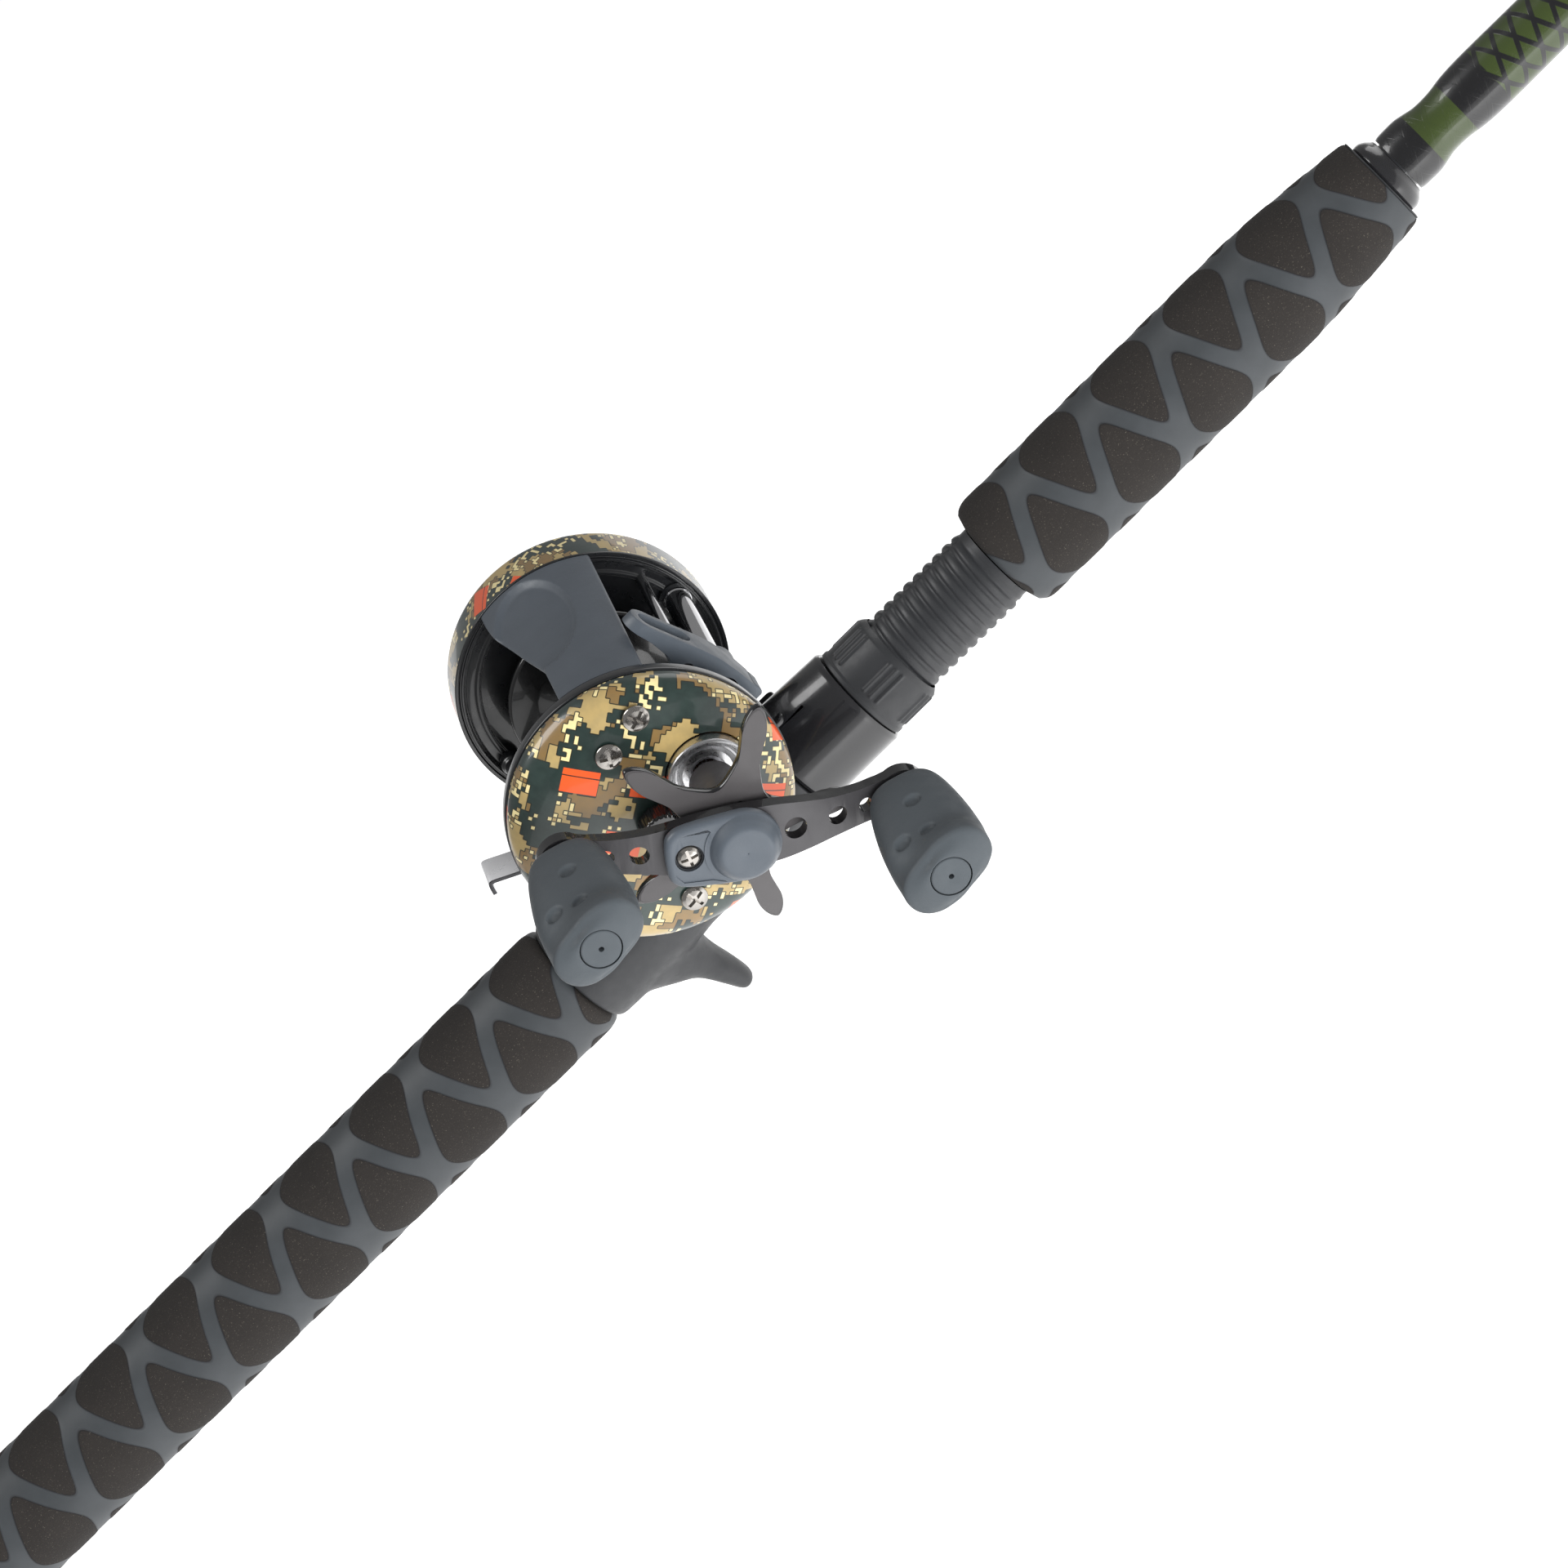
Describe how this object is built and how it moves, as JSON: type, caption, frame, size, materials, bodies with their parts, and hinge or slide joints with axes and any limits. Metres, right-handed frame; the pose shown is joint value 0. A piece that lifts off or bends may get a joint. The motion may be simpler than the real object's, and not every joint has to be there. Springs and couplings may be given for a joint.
{
  "type": "fishing rod and reel",
  "caption": "One-piece baitcasting rod with a trigger seat, foam grips and guides, and a round level-wind reel with a double handle.",
  "frame": {"origin": "centre of the butt cap's flat end, on the rod's axis", "axes": "+X along the rod to the tip, +Z to the side the reel sits on, handle at -Y"},
  "size_m": [2.134, 0.1488, 0.0983],
  "materials": {
    "blank": "gloss clear coat over dark fibre",
    "rubber": "matte",
    "grip_foam": "speckled closed-cell foam with smooth slate-grey bands",
    "seat_nylon": "fine matte",
    "gloss_black": "gloss",
    "olive_wrap": "thread wrap under clear epoxy",
    "guide_metal": "gloss black",
    "guide_ceramic": "polished",
    "black_metal": "semi-gloss black",
    "camo_paint": null,
    "soft_grey": "satin",
    "chrome": "polished",
    "steel": "brushed",
    "spool_black": "gloss black anodised",
    "brass": "machined",
    "aluminium": "machined",
    "drag_fibre": "fibre and steel washers",
    "star_black": "gloss",
    "satin_grey": "satin",
    "knob_rubber": "soft-touch"
  },
  "bodies": {
    "rod": {"blank": "blank", "butt_cap": "rubber", "rear_grip": "grip_foam", "reel_seat": "seat_nylon", "foregrip": "grip_foam", "winding_check": "rubber", "butt_wrap": "olive_wrap", "guide_1_frame": "guide_metal", "guide_1_ring": "guide_ceramic", "guide_2_frame": "guide_metal", "guide_2_ring": "guide_ceramic", "guide_3_frame": "guide_metal", "guide_3_ring": "guide_ceramic", "guide_4_frame": "guide_metal", "guide_4_ring": "guide_ceramic", "guide_5_frame": "guide_metal", "guide_5_ring": "guide_ceramic", "tip_top": "guide_metal", "frame_ring_handle_side": "black_metal", "frame_ring_palm_side": "black_metal", "pillar_rear": "black_metal", "pillar_lower_rear": "black_metal", "pillar_lower_front": "black_metal", "reel_foot": "black_metal", "thumb_rest": "soft_grey", "handle_side_cover": "camo_paint", "palm_side_cover": "camo_paint", "plate_screw_1": "chrome", "plate_screw_2": "chrome", "plate_screw_3": "chrome", "spool_bearing_handle_side": "steel", "spool_bearing_palm_side": "steel", "worm_tube": "chrome", "guide_rod": "chrome", "shaft_collar": "aluminium"},
    "sliding_hood": {"sliding_hood": "gloss_black"},
    "lock_nut": {"lock_nut": "seat_nylon"},
    "crank": {"drive_shaft": "steel", "main_gear": "brass", "drag_stack": "drag_fibre", "level_wind_wheel": "soft_grey", "handle_arm": "satin_grey", "handle_nut": "steel", "nut_cover": "soft_grey", "cover_screw": "chrome"},
    "star_drag": {"star_drag": "star_black"},
    "knob_1": {"knob_1": "knob_rubber", "knob_cap_1": "knob_rubber"},
    "knob_2": {"knob_2": "knob_rubber", "knob_cap_2": "knob_rubber"},
    "spool": {"spool": "spool_black", "spool_shaft": "steel", "brake_rotor": "soft_grey"},
    "pinion_yoke": {"pinion_yoke": "steel"},
    "pinion": {"pinion": "brass"},
    "worm": {"worm_shaft": "steel"},
    "line_carriage": {"line_carriage": "soft_grey"},
    "release_lever": {"release_lever": "chrome"},
    "tension_cap": {"tension_cap": "soft_grey"},
    "clicker_button": {"clicker_button": "soft_grey"}
  },
  "joints": [
    {"name": "handle_spin", "type": "hinge", "parent": "rod", "child": "crank", "pos_m": [0.3496, 0, 0.0344], "axis": [0, 1, 0], "continuous": true},
    {"name": "star_turn", "type": "hinge", "parent": "crank", "child": "star_drag", "pos_m": [0.3496, 0, 0.0344], "axis": [0, 1, 0], "range_deg": [-180, 180]},
    {"name": "knob_1_spin", "type": "hinge", "parent": "crank", "child": "knob_1", "pos_m": [0.32119, 0, 0.05668], "axis": [0, 1, 0], "continuous": true},
    {"name": "knob_2_spin", "type": "hinge", "parent": "crank", "child": "knob_2", "pos_m": [0.37801, 0, 0.01213], "axis": [0, 1, 0], "continuous": true},
    {"name": "spool_spin", "type": "hinge", "parent": "rod", "child": "spool", "pos_m": [0.335, 0, 0.03476], "axis": [0, 1, 0], "continuous": true},
    {"name": "worm_spin", "type": "hinge", "parent": "rod", "child": "worm", "pos_m": [0.3613, 0, 0.034], "axis": [0, 1, 0], "continuous": true},
    {"name": "lever_press", "type": "slide", "parent": "rod", "child": "release_lever", "axis": [0, 0, -1], "range_m": [0, 0.003]},
    {"name": "yoke_slide", "type": "slide", "parent": "rod", "child": "pinion_yoke", "axis": [0, -1, 0], "range_m": [0, 0.0012]},
    {"name": "pinion_spin", "type": "hinge", "parent": "pinion_yoke", "child": "pinion", "pos_m": [0.335, 0, 0.03476], "axis": [0, 1, 0], "continuous": true},
    {"name": "carriage_slide", "type": "slide", "parent": "rod", "child": "line_carriage", "axis": [0, 1, 0], "range_m": [-0.0045, 0.0325]},
    {"name": "tension_turn", "type": "hinge", "parent": "rod", "child": "tension_cap", "pos_m": [0.335, 0, 0.03476], "axis": [0, 1, 0], "range_deg": [-180, 180]},
    {"name": "clicker_slide", "type": "slide", "parent": "rod", "child": "clicker_button", "axis": [0, 0, -1], "range_m": [0, 0.003]},
    {"name": "hood_slide", "type": "slide", "parent": "rod", "child": "sliding_hood", "axis": [1, 0, 0], "range_m": [0, 0.018]},
    {"name": "nut_spin", "type": "hinge", "parent": "sliding_hood", "child": "lock_nut", "pos_m": [0.3835, 0, 0], "axis": [1, 0, 0], "range_deg": [0, 2160]}
  ],
  "couplings": [
    {"joint": "spool_spin", "follows": "handle_spin", "ratio": -5.3},
    {"joint": "pinion_spin", "follows": "handle_spin", "ratio": -5.3},
    {"joint": "worm_spin", "follows": "handle_spin", "ratio": -3},
    {"joint": "yoke_slide", "follows": "lever_press", "ratio": 0.4},
    {"joint": "hood_slide", "follows": "nut_spin", "m_per_rad": 0.00047746}
  ]
}
